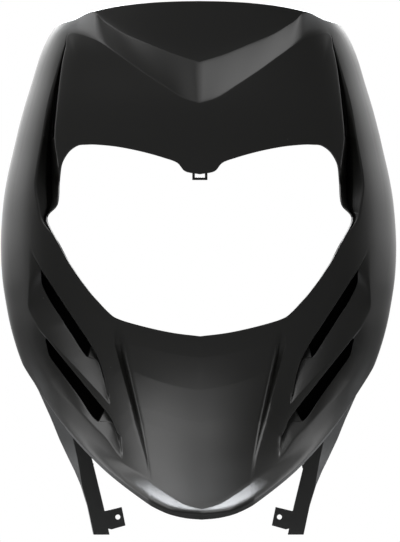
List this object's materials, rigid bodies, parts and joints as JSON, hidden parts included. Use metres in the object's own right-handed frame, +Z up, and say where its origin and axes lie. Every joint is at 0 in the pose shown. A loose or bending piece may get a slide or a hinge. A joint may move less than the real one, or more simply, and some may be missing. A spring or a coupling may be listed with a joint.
{
  "type": "scooter leg shield",
  "caption": "Front leg shield of a scooter: domed black mask with a shaped headlight opening, stepped brow, side gills, pointed nose and lower fixing arms.",
  "frame": {"origin": "centre of the bounding box at its lowest point, between the feet of the two arms", "axes": "+Z up along the shield, +X across it to the right of the picture, front facing -Y"},
  "size_m": [0.3974, 0.249, 0.5355],
  "materials": {
    "black_plastic": "satin, moulded, unpainted"
  },
  "bodies": {
    "root": {"leg_shield": "black_plastic"}
  },
  "joints": []
}
